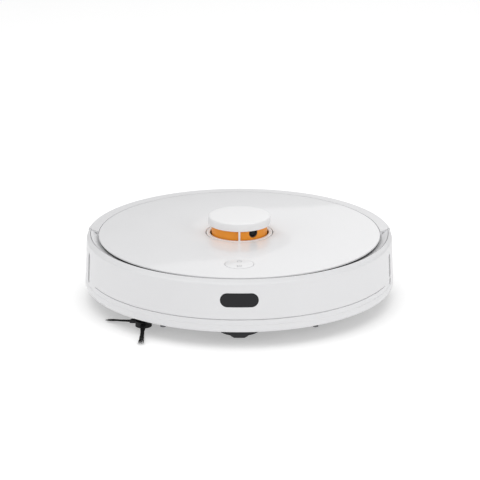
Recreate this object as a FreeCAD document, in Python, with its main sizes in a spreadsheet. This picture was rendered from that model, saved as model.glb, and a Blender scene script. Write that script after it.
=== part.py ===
import FreeCAD, Part
import os
import re
import Sketcher

# A round robot vacuum cleaner in millimetres. +Z is up, the front faces -Y and
# the robot's own right is -X. The origin is on the body's centre line at the floor.

Vector = FreeCAD.Vector
Rotation = FreeCAD.Rotation
Placement = FreeCAD.Placement

doc = FreeCAD.newDocument("robot_vacuum")
sheet = doc.addObject("Spreadsheet::Sheet", "Dims")

DIMENSIONS = {
    # outer body
    "body_radius": 175, "crease_radius": 174.8, "wall_top_radius": 172.4,
    "skirt_z": 18.5, "crease_z": 26.1, "wall_top_z": 71.6, "shell": 2.5, "edge": 0.8,
    # lower pan
    "belly_z": 11.5, "pan_z": 14, "belly_radius": 150, "pan_radius": 168, "deck_taper": 1.8,
    "pan_edge_z": 17.5, "rim_z": 30,
    # deck, cover disc and the gutter between disc and bumper
    "deck_low": 68.4, "deck_z": 70.8, "disc_radius": 159, "disc_z": 74.2, "disc_gap": 0.4,
    "gutter_z": 69.5, "gutter_low": 67.1, "gutter_high": 73.7, "gutter_seat": 155.5,
    "ring_low": 71.8,
    # bumper
    "bumper_end": 12, "bumper_travel": 3, "housing_end": 15.4,
    "lip_radius": 169.3, "lip_shift": 6.2, "lip_z": 74, "lip_low": 71.2, "lip_flat": 0.5,
    "flange_radius": 169.4, "flange_shift": 3.4, "flange_z": 70.9,
    "notch_x": 168.3, "notch_y": 10, "notch_start": 1.1,
    "groove_z": 32.3, "groove_high": 1.0, "groove_radius": 173.2,
    "groove_right": 66, "groove_left": 68,
    # windows in the bumper
    "window_wide": 41, "window_high": 15.5, "window_z": 53.85, "window_inset": 0.35,
    "slot_wide": 8.6, "slot_angle": 75, "slot_inset": 0.9,
    "right_low": 29.1, "right_high": 63.5,
    "left_low": 35.8, "left_high": 62.8, "spot_low": 26.9, "spot_high": 35.1,
    # laser turret
    "turret_hole": 38.05, "deck_hole": 44, "cap_radius": 35.2, "cap_low": 85.1, "cap_z": 94.5,
    "cap_wall": 2.2, "post_wide": 2.2, "ring_in": 33.2, "ring_out": 37.4, "turret_ring_z": 74.4,
    "ring_foot": 68.6, "stop_radius": 42.6, "stop_z": 70.3,
    "head_radius": 31.5, "head_z": 87.6, "head_low": 66, "head_wall": 2.5,
    "cup_in": 43.5, "cup_out": 45.5, "cup_flange": 52, "cup_low": 56, "cup_floor": 58,
    "spindle": 6, "bearing_out": 10, "belt_z": 62.5, "belt_radius": 24, "belt_drive": 5,
    "belt_reach": 56, "belt_angle": 161, "belt_high": 2.2, "belt_thick": 1,
    "motor_radius": 8, "motor_low": 46, "spring_seat": 60.5, "spring_ring": 40,
    "lens_radius": 5.4, "lens_z": 81.4, "lens_angle": 30, "eye_radius": 3.1, "eye_angle": 98,
    # rocker button
    "button_y": -114, "button_radius": 15.6, "button_hole": 15.95, "button_low": 72,
    "button_top": 74.5, "button_pivot": 69.6, "button_pin": 1, "button_throw": 8,
    # drive wheels
    "wheel_x": 118, "wheel_radius": 33, "wheel_half": 10, "wheel_core": 24, "axle": 3,
    "pivot_y": 48, "pivot_z": 30, "pivot_pin": 3, "arm_in": 95, "arm_out": 106,
    "gear_motor_radius": 9, "gear_motor_y": 34, "gear_motor_z": 38,
    # caster
    "caster_y": -145, "caster_trail": 5, "caster_radius": 14, "caster_half": 9.6,
    "crown_radius": 15, "fork_radius": 19, "cheek_in": 10.1, "cheek_out": 12.6,
    "well_radius": 20.3, "well_wall": 2, "stem": 3.5,
    # main brush
    "brush_y": -20, "brush_z": 17.5, "brush_half": 80, "brush_core": 8, "brush_tip": 16.5,
    "mouth_x": 84.5, "mouth_half": 24, "chamber_z": 35.5, "journal": 3, "gap_x": 40,
    "gap_half": 2.5, "guard_z": 9.3,
    # side brush
    "side_x": -104, "side_y": -117, "side_reach": 51.5, "side_hub": 9, "side_shaft": 2.5,
    "side_arm_z": 9.6, "side_slope": 8.8, "ferrule_reach": 17, "ferrule_wide": 5.2, "ferrule_high": 3.6,
    "tuft_root": 3.6, "tuft_tip": 7, "tuft_thick": 1.6, "side_drive": 8.5, "side_drive_low": 20.2,
    "side_gear_x": -96, "side_gear_y": -109, "side_gearbox": 11, "side_motor": 9,
    # battery and boards
    "battery_x": 70, "battery_front": -119, "battery_back": -69, "battery_top": 54,
    "hatch_x": 73, "hatch_front": -121, "hatch_back": -67, "board_z": 57, "board_thick": 1.6,
    # dustbin, duct and fan
    "bin_x": 70, "bin_front": 62, "bin_back": 156, "bin_low": 31, "bin_lid": 62, "bin_top": 65.5,
    "bin_wall": 2, "bin_gap": 0.6, "bin_inset": 0.3,
    "duct_left": 6, "duct_right": -60, "fan_x": 40, "fan_y": 34, "fan_radius": 26,
    "fan_low": 18, "fan_high": 50, "impeller_radius": 22,
    # rear skirt and vents
    "contact_x": 38, "contact_half": 8, "contact_low": 20.5, "contact_high": 28.5,
    "contact_face": 168.4, "contact_thick": 2,
    "vent_angle": 52, "vent_half": 20, "vent_low": 36, "vent_high": 60,
    "screw_head": 3, "screw_high": 1.35, "screw_shank": 1.4, "speaker_x": -88, "speaker_y": 100,
}

for row, (alias, value) in enumerate(DIMENSIONS.items(), 1):
    sheet.set("A%d" % row, alias)
    sheet.set("B%d" % row, str(value))
    sheet.setAlias("B%d" % row, alias)
doc.recompute()

UP = (Vector(0, 0, 1), 0)
ALONG_X = (Vector(0, 1, 0), 90)
ALONG_Y = (Vector(1, 0, 0), -90)
nodes = []


def link(text):
    """Writes a sum of sheet names as an expression on the sheet."""
    return re.sub(r"[a-z_]+", lambda m: "Dims." + m.group() if m.group() in DIMENSIONS else m.group(),
                  str(text))


def size_of(text):
    return float(sheet.evalExpression(link(text)))


def minus(text):
    return "-(%s)" % text


def put(obj, x=0, y=0, z=0, turn=UP):
    obj.Placement = Placement(Vector(), Rotation(*turn))
    for letter, value in zip("xyz", (x, y, z)):
        obj.setExpression("Placement.Base." + letter, link(value))
    return obj


def box(xs, ys, zs):
    obj = doc.addObject("Part::Box", "Box")
    for prop, (low, high) in zip(("Length", "Width", "Height"), (xs, ys, zs)):
        obj.setExpression(prop, link("(%s) - (%s)" % (high, low)))
    return put(obj, xs[0], ys[0], zs[0])


def rod(radius, ends, centre=(0, 0), turn=UP):
    """A cylinder between two ends along Z, X or Y; centre gives the other two places."""
    obj = doc.addObject("Part::Cylinder", "Rod")
    obj.setExpression("Radius", link(radius))
    obj.setExpression("Height", link("(%s) - (%s)" % (ends[1], ends[0])))
    if turn is ALONG_X:
        return put(obj, ends[0], centre[0], centre[1], turn)
    if turn is ALONG_Y:
        return put(obj, centre[0], ends[0], centre[1], turn)
    return put(obj, centre[0], centre[1], ends[0], turn)


def ball(radius, x, y, z):
    obj = doc.addObject("Part::Sphere", "Ball")
    obj.setExpression("Radius", link(radius))
    return put(obj, x, y, z)


def torus(radius, wire, x, y, z, turn=UP):
    obj = doc.addObject("Part::Torus", "Torus")
    obj.setExpression("Radius1", link(radius))
    obj.setExpression("Radius2", link(wire))
    return put(obj, x, y, z, turn)


def fuse(*shapes):
    obj = doc.addObject("Part::MultiFuse", "Fuse")
    obj.Shapes = list(shapes)
    return obj


def cut(base, *tools):
    obj = doc.addObject("Part::Cut", "Cut")
    obj.Base = base
    obj.Tool = tools[0] if len(tools) == 1 else fuse(*tools)
    return obj


def common(first, second):
    obj = doc.addObject("Part::Common", "Common")
    obj.Base = first
    obj.Tool = second
    return obj


def group(*shapes):
    obj = doc.addObject("Part::Compound", "Group")
    obj.Links = list(shapes)
    return obj


def turned(shape, angle, x=0, y=0, z=0, axis=Vector(0, 0, 1)):
    """A copy turned about an axis through the origin and then moved."""
    obj = group(shape)
    put(obj, x, y, z, (axis, 0))
    obj.setExpression("Placement.Rotation.Angle", link(angle))
    return obj


def mirrored(shape):
    obj = doc.addObject("Part::Mirroring", "Mirror")
    obj.Source = shape
    obj.Normal = Vector(1, 0, 0)
    return obj


def tube(outer, inner, ends, centre=(0, 0), turn=UP):
    return cut(rod(outer, ends, centre, turn), rod(inner, ends, centre, turn))


def outline(body, role, points):
    """Draws a closed outline whose corners are held by the sheet."""
    sketch = body.newObject("Sketcher::SketchObject", "Outline")
    plane = [item for item in body.Origin.OriginFeatures if item.Role == role][0]
    sketch.AttachmentSupport = [(plane, "")]
    sketch.MapMode = "FlatFace"
    corners = [Vector(size_of(a), size_of(b), 0) for a, b in points]
    count = len(corners)
    for index in range(count):
        sketch.addGeometry(Part.LineSegment(corners[index], corners[(index + 1) % count]), False)
    for index in range(count):
        sketch.addConstraint(Sketcher.Constraint("Coincident", index, 2, (index + 1) % count, 1))
    for index, (across, along) in enumerate(points):
        for kind, text, value in (("DistanceX", across, corners[index].x),
                                  ("DistanceY", along, corners[index].y)):
            number = sketch.addConstraint(Sketcher.Constraint(kind, -1, 1, index, 1, value))
            sketch.setExpression("Constraints[%d]" % number, link(text))
    return sketch


def spun(points, x=0, y=0, z=0, turn=UP):
    """A solid of revolution about Z from (radius, height) corners."""
    body = doc.addObject("PartDesign::Body", "Spun")
    feature = body.newObject("PartDesign::Revolution", "Revolution")
    feature.Profile = outline(body, "XZ_Plane", points)
    feature.ReferenceAxis = (feature.Profile[0], ["V_Axis"])
    feature.Angle = 360
    body.Tip = feature
    return put(body, x, y, z, turn)


def pad(points, low, high, role="XY_Plane"):
    """A flat outline padded from low to high along its plane's normal."""
    body = doc.addObject("PartDesign::Body", "Pad")
    feature = body.newObject("PartDesign::Pad", "Pad")
    feature.Profile = outline(body, role, points)
    feature.setExpression("Length", link("(%s) - (%s)" % (high, low)))
    body.Tip = feature
    return put(body, low, 0, 0) if role == "YZ_Plane" else put(body, 0, 0, low)


def frustum(low_radius, low_z, high_radius, high_z, high_shift):
    """A skewed cone between two level circles, the upper one moved along Y."""
    rings = []
    for radius, height, shift in ((low_radius, low_z, 0), (high_radius, high_z, high_shift)):
        ring = doc.addObject("Part::Circle", "Ring")
        ring.setExpression("Radius", link(radius))
        rings.append(put(ring, 0, shift, height))
    obj = doc.addObject("Part::Loft", "Frustum")
    obj.Sections = rings
    obj.Solid = True
    obj.Ruled = True
    return obj


def stadium(width, z_low, z_high, deep_from, deep_to):
    """An upright or level rounded prism along -Y, centred on x = 0."""
    high = "(%s) - (%s)" % (z_high, z_low)
    if size_of(width) > size_of(high):
        radius, middle = "(%s)/2" % high, "((%s) + (%s))/2" % (z_low, z_high)
        side = "(%s)/2 - %s" % (width, radius)
        ends = [(minus(side), middle), (side, middle)]
        core = box((minus(side), side), (deep_from, deep_to), (z_low, z_high))
    else:
        radius = "(%s)/2" % width
        ends = [(0, "%s + %s" % (z_low, radius)), (0, "%s - %s" % (z_high, radius))]
        core = box((minus(radius), radius), (deep_from, deep_to), (ends[0][1], ends[1][1]))
    caps = [rod(radius, (deep_from, deep_to), end, ALONG_Y) for end in ends]
    return fuse(core, *caps)


def coil(radius, wire, low, high, turns, x, y):
    """A round-wire spring standing on Z."""
    path = doc.addObject("Part::Helix", "Helix")
    path.setExpression("Radius", link(radius))
    path.setExpression("Height", link("(%s) - (%s) - 2*(%s)" % (high, low, wire)))
    path.setExpression("Pitch", link("((%s) - (%s) - 2*(%s))/%d" % (high, low, wire, turns)))
    section = doc.addObject("Part::Circle", "Wire")
    section.setExpression("Radius", link(wire))
    put(section, radius, 0, 0, (Vector(1, 0, 0), 90))
    sweep = doc.addObject("Part::Sweep", "Coil")
    sweep.Sections = [section]
    sweep.Spine = (path, ["Edge1"])
    sweep.Solid = True
    sweep.Frenet = True
    return turned(sweep, 0, x, y, "%s + %s" % (low, wire))


def node(name, shape):
    shape.Label = name
    nodes.append(shape)
    return shape


def wall_profile(inset, low="skirt_z"):
    """The flared outer wall as (radius, height) corners, inset from the surface."""
    if low == "skirt_z":
        return [("body_radius - edge - %s" % inset, low), ("body_radius - %s" % inset, "skirt_z + edge"),
                ("crease_radius - %s" % inset, "crease_z"),
                ("wall_top_radius - %s" % inset, "wall_top_z")]
    return [("crease_radius - %s" % inset, "crease_z"), ("wall_top_radius - %s" % inset, "wall_top_z")]


def wall_skin(outside, inside):
    """A thin ring that follows the flared wall between two insets."""
    outer = wall_profile(outside)
    inner = [("wall_top_radius - %s" % inside, "wall_top_z"),
             ("crease_radius - %s" % inside, "crease_z"), ("body_radius - %s" % inside, "skirt_z")]
    return spun(outer + inner)


# ---------------------------------------------------------------- front bumper

lip = fuse(frustum("wall_top_radius", "wall_top_z", "lip_radius", "lip_z", "lip_shift"),
           rod("wall_top_radius - edge/4", ("lip_low", "wall_top_z")))
lip = cut(lip, rod("lip_radius - lip_flat", ("lip_low", "lip_z + 1"), (0, "lip_shift")))
groove_span = "groove_right + groove_left"
groove_sector = doc.addObject("Part::Cylinder", "GrooveSector")
groove_sector.setExpression("Radius", link("body_radius + 2"))
groove_sector.setExpression("Height", link("groove_high"))
groove_sector.setExpression("Angle", link(groove_span))
groove_sector = turned(groove_sector, "-90 - groove_right", 0, 0, "groove_z - groove_high/2")
groove = cut(groove_sector, rod("groove_radius", ("groove_z - 2", "groove_z + 2")))

front_window = stadium("window_wide", "window_z - window_high/2", "window_z + window_high/2",
                       "-body_radius - 5", "-body_radius + 15")
slot_depth = ("-body_radius - 5", "-body_radius + 10")
right_slot = turned(stadium("slot_wide", "right_low", "right_high", *slot_depth), "-slot_angle")
left_slot = turned(stadium("slot_wide", "left_low", "left_high", *slot_depth), "slot_angle")
left_spot = turned(stadium("slot_wide - 0.1", "spot_low", "spot_high", *slot_depth), "slot_angle")

behind = box(("-body_radius - 9", "body_radius + 9"), ("bumper_end", "body_radius + 9"),
             ("0", "cap_z"))
tongue = box(("-wall_top_radius + 2", "-wall_top_radius + 15"), (-22, -11), (44, 47))
bumper_shell = cut(fuse(wall_skin("0", "shell"), lip), behind)
bumper_shell = cut(bumper_shell, groove, front_window, right_slot, left_slot, left_spot)
node("bumper", fuse(bumper_shell, tongue, mirrored(tongue)))

node("bumper_window", common(wall_skin("window_inset", "shell"), front_window))
node("right_wall_sensor_window", common(wall_skin("slot_inset", "shell"), right_slot))
node("left_side_windows", group(common(wall_skin("slot_inset", "shell"), left_slot),
                                common(wall_skin("slot_inset", "shell"), left_spot)))

# ---------------------------------------------------------------- lower pan

pan = spun([(0, "belly_z"), ("belly_radius", "belly_z"), ("pan_radius", "pan_edge_z"),
            ("pan_radius", "rim_z"), ("pan_radius - shell", "rim_z"),
            ("pan_radius - shell", "pan_edge_z + shell"), ("belly_radius - 1", "pan_z"),
            (0, "pan_z")])
well_outer = "well_radius + well_wall"
caster_well = cut(rod(well_outer, ("belly_z", 34.5), (0, "caster_y")),
                  rod("well_radius", ("belly_z", 32.2), (0, "caster_y")))
caster_boss = cut(rod(7, (34, 46), (0, "caster_y")), rod("stem + 0.05", (30, 47), (0, "caster_y")))
mouth = (("-mouth_x", "mouth_x"), ("brush_y - mouth_half", "brush_y + mouth_half"))
chamber = box(("-mouth_x - shell", "mouth_x + shell"),
              ("brush_y - mouth_half - shell", "brush_y + mouth_half + shell"),
              ("belly_z", "chamber_z + shell"))
wheel_opening = box(("arm_in - 1", 131), (-36, 42), (0, 20))
well_wall = box((132, 134), (-36, 38), ("belly_z", 60))
well_front = box((108, 134), (-38.5, -36.5), ("belly_z", 60))
bracket_in = box((86, 91), ("pivot_y - 4.6", "pivot_y + 6"), ("pan_z - 0.5", "pivot_z + 6"))
bracket_out = box((108, 112), ("pivot_y - 6", "pivot_y + 6"), ("pan_z - 0.5", "pivot_z + 6"))
side_parts = fuse(well_wall, well_front, bracket_in, bracket_out)
bay_rail = box((58, 62), (70, 152), ("pan_z - 0.5", "bin_low - 0.4"))
battery_wall = box(("-hatch_x - 2", "-hatch_x"), ("hatch_front", "hatch_back"), ("belly_z", "board_z"))
pan = fuse(pan, rod(well_outer, ("belly_z", 34.5), (0, "caster_y")), rod(7, (34, 46), (0, "caster_y")),
           chamber, side_parts, mirrored(side_parts), bay_rail, mirrored(bay_rail),
           battery_wall, mirrored(battery_wall))

screw_spots = [(-82, -138), (82, -138), (-142, -14), (142, -14), (-112, 92), (112, 92),
               (-30, 150), (30, 150)]
cliff_spots = [(-50, -134, 20), (50, -134, -20), (-141, -52, 70), (141, -52, -70)]


def cliff_shape(spot, low, high, spare):
    x, y, angle = spot
    body = fuse(box((-4, 4), ("-4 - %s" % spare, "4 + %s" % spare), (low, high)),
                rod("4 + %s" % spare, (low, high), (-4, 0)), rod("4 + %s" % spare, (low, high), (4, 0)))
    return turned(body, angle, x, y, 0)


pivot_hole = rod("pivot_pin + 0.05", (80, 113), ("pivot_y", "pivot_z"), ALONG_X)
pan_cuts = [
    rod("well_radius", (0, 32.2), (0, "caster_y")), rod("stem + 0.05", (30, 47), (0, "caster_y")),
    box(mouth[0], mouth[1], (0, "chamber_z")),
    box(("duct_right + 2", "duct_left - 2"), (0, 20), (17, 33)),
    box(("-hatch_x", "hatch_x"), ("hatch_front", "hatch_back"), (0, "pan_z + 0.5")),
    wheel_opening, mirrored(wheel_opening), pivot_hole, mirrored(pivot_hole),
    rod("journal + 1", (80, 90), ("brush_y", "brush_z"), ALONG_X),
    rod("side_shaft + 1", (0, 20), ("side_x", "side_y")),
]
pan_cuts += [rod("screw_head + 0.2", (0, "pan_z - 1"), spot) for spot in screw_spots]
pan_cuts += [rod("screw_shank + 0.3", (0, 20), spot) for spot in screw_spots]
pan_cuts += [cliff_shape(spot, 0, 20, 0) for spot in cliff_spots]
pan_cuts += [box(("speaker_x - 13.5 + %d" % (6 * step), "speaker_x - 10.5 + %d" % (6 * step)),
                 ("speaker_y - 10", "speaker_y + 10"), (0, 20)) for step in range(5)]
contact_notch = box(("contact_x - contact_half - 2.1", "contact_x + contact_half + 2.1"),
                    (162.8, "body_radius"), ("contact_low - 1.7", "rim_z + 1"))
pan_cuts += [contact_notch, mirrored(contact_notch)]
node("chassis_base", cut(pan, *pan_cuts))

node("battery_cover", cut(
    box(("-hatch_x + 0.3", "hatch_x - 0.3"), ("hatch_front + 0.3", "hatch_back - 0.3"),
        ("belly_z", "pan_z")),
    *[rod("screw_head + 0.2", (0, "pan_z - 1"), spot) for spot in ((-66, -94), (66, -94))],
    *[rod("screw_shank + 0.3", (0, 20), spot) for spot in ((-66, -94), (66, -94))]))


def screw(spot, low, length):
    head = cut(rod("screw_head", (low, "%s + screw_high" % low), spot),
               box(("%s - 1.6" % spot[0], "%s + 1.6" % spot[0]),
                   ("%s - 0.4" % spot[1], "%s + 0.4" % spot[1]), (low, "%s + 0.9" % low)),
               box(("%s - 0.4" % spot[0], "%s + 0.4" % spot[0]),
                   ("%s - 1.6" % spot[1], "%s + 1.6" % spot[1]), (low, "%s + 0.9" % low)))
    return fuse(head, rod("screw_shank", ("%s + 1.2" % low, "%s + %s" % (low, length)), spot))


screw_low = "pan_z - 2.4"
node("base_screws", group(*[screw(spot, screw_low, 9) for spot in screw_spots],
                          *[screw(spot, screw_low, 4) for spot in ((-66, -94), (66, -94))]))
node("cliff_sensor_windows", group(*[cliff_shape(spot, 12, 15, 0) for spot in cliff_spots]))

# ---------------------------------------------------------------- upper housing

rear_ring = spun([("disc_radius + disc_gap", "disc_z"), ("disc_radius + disc_gap", 69),
                  ("disc_radius + disc_gap + shell", 69), ("disc_radius + disc_gap + shell", "ring_low"),
                  ("wall_top_radius - shell", "ring_low"), ("crease_radius - shell", "crease_z"),
                  ("body_radius - shell", "skirt_z + shell"), ("pan_radius", "skirt_z + shell"),
                  ("pan_radius", "skirt_z")] + wall_profile("0")[:3]
                 + [("wall_top_radius - 0.05", "disc_z - 1"), ("wall_top_radius - 1", "disc_z")])
front_zone = pad([("-body_radius - 9", "-body_radius - 9"), ("body_radius + 9", "-body_radius - 9"),
                  ("body_radius + 9", "housing_end"), ("notch_x", "housing_end"),
                  ("notch_x", "notch_y"), ("disc_radius + disc_gap", "notch_start"),
                  ("-disc_radius - disc_gap", "notch_start"), ("-notch_x", "notch_y"),
                  ("-notch_x", "housing_end"), ("-body_radius - 9", "housing_end")], 0, "cap_z")
rear_ring = cut(rear_ring, front_zone)

deck = spun([("deck_hole", "deck_low"), ("deck_hole", "deck_z"), ("gutter_seat", "deck_z"),
             ("gutter_seat", "gutter_z"), ("pan_radius - deck_taper", "gutter_z"),
             ("pan_radius", "rim_z"), ("pan_radius - shell", "rim_z"),
             ("pan_radius - shell - deck_taper", "gutter_low"),
             ("gutter_seat - shell", "gutter_low"), ("gutter_seat - shell", "deck_low")])
gutter = cut(rod("lip_radius - lip_flat - 0.3", ("gutter_z - 0.3", "gutter_high"),
                 (0, "lip_shift + bumper_travel + 0.3")),
             frustum("disc_radius + disc_gap", "gutter_z", "lip_radius", "gutter_high", "lip_shift"),
             rod("disc_radius - 2", ("gutter_low", "gutter_high")))
under_lip = cut(rod("flange_radius", ("gutter_z - 0.3", "flange_z"), (0, "flange_shift")),
                rod("disc_radius + 3", ("gutter_low", "disc_z")))
astern = box(("-body_radius - 9", "body_radius + 9"), ("housing_end", "body_radius + 9"), (0, "cap_z"))
gutter = cut(gutter, astern)
under_lip = cut(under_lip, astern)

contact_block = box(("contact_x - contact_half - 2", "contact_x + contact_half + 2"),
                    (163, "contact_face + 1"), ("contact_low - 1.5", "contact_high + 1.5"))
contact_block = common(contact_block, rod("body_radius - 1", (0, "rim_z")))
contact_pocket = box(("contact_x - contact_half", "contact_x + contact_half"),
                     ("contact_face - contact_thick", "body_radius + 5"),
                     ("contact_low", "contact_high"))
vent_box = turned(box(("body_radius - 20", "body_radius + 9"), ("-vent_half", "vent_half"),
                      ("vent_low", "vent_high")), "vent_angle")
speaker_slots = [turned(box(("body_radius - 20", "body_radius + 9"),
                            (5 * step - 0.9, 5 * step + 0.9), ("vent_low", "vent_high")),
                        "180 - vent_angle") for step in range(-3, 4)]
board_post = rod(2, (65.2, 69), (-13, -128))
board_posts = [board_post, mirrored(board_post), rod(2, (65.2, 69), (-13, -100)),
               rod(2, (65.2, 69), (13, -100))]
anchor = fuse(box(("-wall_top_radius + 8", "-wall_top_radius + 15"), (3, 6), (40, 51)),
              box(("-pan_radius + shell/2", "-wall_top_radius + 15"), (3, 6), (36, 40)))
housing = fuse(rear_ring, deck, gutter, under_lip, anchor, mirrored(anchor), contact_block,
               mirrored(contact_block), *board_posts)
bin_opening = box(("-bin_x - bin_gap", "bin_x + bin_gap"), (100, "body_radius + 9"),
                  ("bin_low - bin_gap", "bin_top + bin_gap"))
tongue_slot = box(("-wall_top_radius", "-wall_top_radius + 16"), (-23, -6), (43, 48))
pin_slot = box(("-button_hole - 3.4", "button_hole + 3.4"),
               ("button_y - button_pin - 0.1", "button_y + button_pin + 0.1"),
               ("deck_low + 0.1", "deck_z + 1"))
plunger_holes = [turned(rod(1.5, (-172, -160), (0, 45), ALONG_Y), angle) for angle in (-38, 38)]
node("upper_housing", cut(
    housing, bin_opening, contact_pocket, mirrored(contact_pocket), vent_box, *speaker_slots,
    tongue_slot, mirrored(tongue_slot), pin_slot, *plunger_holes,
    rod("button_radius", ("deck_low - 1", "deck_z + 1"), (0, "button_y")),
    rod("well_radius + well_wall + 0.1", (29, 34.6), (0, "caster_y"))))

grille_slots = [box(("body_radius - 20", "body_radius + 9"), (4.4 * step - 1.1, 4.4 * step + 1.1),
                    ("vent_low + 2.5", "vent_high - 2.5")) for step in range(-4, 5)]
node("exhaust_grille", cut(common(wall_skin("0.4", "shell"), vent_box),
                           *[turned(slot, "vent_angle") for slot in grille_slots]))
contact = box(("contact_x - contact_half", "contact_x + contact_half"),
              ("contact_face - contact_thick", "contact_face"), ("contact_low", "contact_high"))
node("charge_contacts", group(contact, mirrored(contact)))

# springs and switches that the bumper works
spring_x = "wall_top_radius - 11"
bumper_coil = turned(coil(2, 0.35, 0, 14, 6, 0, 0), -90, minus(spring_x), -11, 45.5, Vector(1, 0, 0))
node("bumper_springs", group(bumper_coil, mirrored(bumper_coil)))
switch_body = fuse(box((-6, 6), (-164, -157), (41, 49)), rod(1.2, (-168.4, -160), (0, 45), ALONG_Y))
node("bumper_switches", group(turned(switch_body, -38), turned(switch_body, 38)))

# ---------------------------------------------------------------- cover disc and button

node("top_cover", cut(rod("disc_radius", ("deck_z", "disc_z")),
                      rod("turret_hole", ("deck_z - 1", "disc_z + 1")),
                      rod("button_hole", ("deck_z - 1", "disc_z + 1"), (0, "button_y"))))
button_spots = [(0, "button_y - button_throw"), (0, "button_y + button_throw")]
node("button_plate", fuse(
    rod("button_radius", ("button_low", "button_top"), (0, "button_y")),
    tube("button_radius - 1.5", "button_radius - 4", ("deck_low", "button_low"), (0, "button_y")),
    rod("button_pin", ("-button_hole - 3", "-button_radius + 2"), ("button_y", "button_pivot"), ALONG_X),
    rod("button_pin", ("button_radius - 2", "button_hole + 3"), ("button_y", "button_pivot"), ALONG_X),
    *[rod(1.5, (68.3, "button_low"), spot) for spot in button_spots]))
switches = [fuse(box((-3, 3), ("%s - 3" % spot[1], "%s + 3" % spot[1]), (65, 67.2)),
                 rod(1.5, (67, 68), spot)) for spot in button_spots]
node("button_switches", fuse(box((-16, 16), (-131, -97), (64, 65.2)), *switches))

# ---------------------------------------------------------------- laser turret


def loop_pad(extra, low, high):
    """The straight-sided hull of the two belt pulleys, grown by extra."""
    slope = "asin((belt_radius - belt_drive)/belt_reach)"
    big, small = "(belt_radius + %s)" % extra, "(belt_drive + %s)" % extra
    corners = [("%s*sin(%s)" % (big, slope), "-%s*cos(%s)" % (big, slope)),
               ("belt_reach + %s*sin(%s)" % (small, slope), "-%s*cos(%s)" % (small, slope)),
               ("belt_reach + %s*sin(%s)" % (small, slope), "%s*cos(%s)" % (small, slope)),
               ("%s*sin(%s)" % (big, slope), "%s*cos(%s)" % (big, slope))]
    return fuse(rod(big, (low, high)), rod(small, (low, high), ("belt_reach", 0)),
                pad(corners, low, high))


belt_ends = ("belt_z - belt_high/2", "belt_z + belt_high/2")
belt = cut(loop_pad("0.05 + belt_thick", *belt_ends), loop_pad("0.05", *belt_ends))
node("lidar_belt", turned(belt, "belt_angle"))

cup = spun([(0, "cup_low"), ("cup_out", "cup_low"), ("cup_out", "deck_low - shell"),
            ("cup_flange", "deck_low - shell"), ("cup_flange", "deck_low"), ("cup_in", "deck_low"),
            ("cup_in", "cup_floor"), ("spindle", "cup_floor"), ("spindle", "belt_z + 2.5"),
            (0, "belt_z + 2.5")])
spring_angles = ("belt_angle - 60", "belt_angle + 60", "belt_angle + 180")
spring_pads = [turned(rod(3, ("cup_low", "spring_seat"), ("spring_ring", 0)), angle)
               for angle in spring_angles]
motor_shelf = turned(box((36, "belt_reach + 12"), (-11, 11), ("cup_low", "cup_floor")), "belt_angle")
belt_door = turned(box((30, 50), (-21, 21), ("belt_z - 2.5", "belt_z + 2.5")), "belt_angle")
shaft_hole = turned(rod(3, (50, 60), ("belt_reach", 0)), "belt_angle")
node("lidar_base", cut(fuse(cup, motor_shelf, *spring_pads), belt_door, shaft_hole))
node("lidar_motor", turned(fuse(rod("motor_radius", ("motor_low", "cup_low"), ("belt_reach", 0)),
                                rod(1, (55, "belt_z + 1.5"), ("belt_reach", 0))), "belt_angle"))
drive_pulley = spun([(1.02, "belt_z - 2"), ("belt_drive + 1.5", "belt_z - 2"),
                     ("belt_drive + 1.5", "belt_z - 1.3"), ("belt_drive", "belt_z - 1.3"),
                     ("belt_drive", "belt_z + 1.3"), ("belt_drive + 1.5", "belt_z + 1.3"),
                     ("belt_drive + 1.5", "belt_z + 2"), (1.02, "belt_z + 2")], "belt_reach")
node("lidar_pulley", turned(drive_pulley, "belt_angle"))
node("lidar_bearing", tube("bearing_out", "spindle", ("cup_floor + 1.5", "belt_z + 2")))
bearing_foot = "bearing_out + 0.05"
head_skin = spun([(bearing_foot, "belt_z - 2"), ("belt_radius + 1.5", "belt_z - 2"),
                  ("belt_radius + 1.5", "belt_z - 1.3"), ("belt_radius", "belt_z - 1.3"),
                  ("belt_radius", "belt_z + 1.3"), ("belt_radius + 1.5", "belt_z + 1.3"),
                  ("belt_radius + 1.5", "head_low"), ("head_radius - 0.8", "head_low"),
                  ("head_radius", "head_low + 0.8"), ("head_radius", "head_z - 0.6"),
                  ("head_radius - 0.6", "head_z"), (0, "head_z"), (0, "head_z - 2"),
                  ("head_radius - head_wall", "head_z - 2"),
                  ("head_radius - head_wall", "head_low + 2"), (bearing_foot, "head_low + 2")])


def eye(radius, angle, outer):
    return turned(rod(radius, ("-head_radius - %s" % outer, "-head_radius + 4"), (0, "lens_z"), ALONG_Y),
                  angle)


node("lidar_head", cut(head_skin, eye("lens_radius", "lens_angle", "5"),
                       eye("eye_radius", "eye_angle", "5")))
node("lidar_lenses", group(
    common(eye("lens_radius", "lens_angle", "0"), rod("head_radius - 0.5", ("cup_low", "head_z"))),
    common(eye("eye_radius", "eye_angle", "0"), rod("head_radius - 0.5", ("cup_low", "head_z")))))

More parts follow.
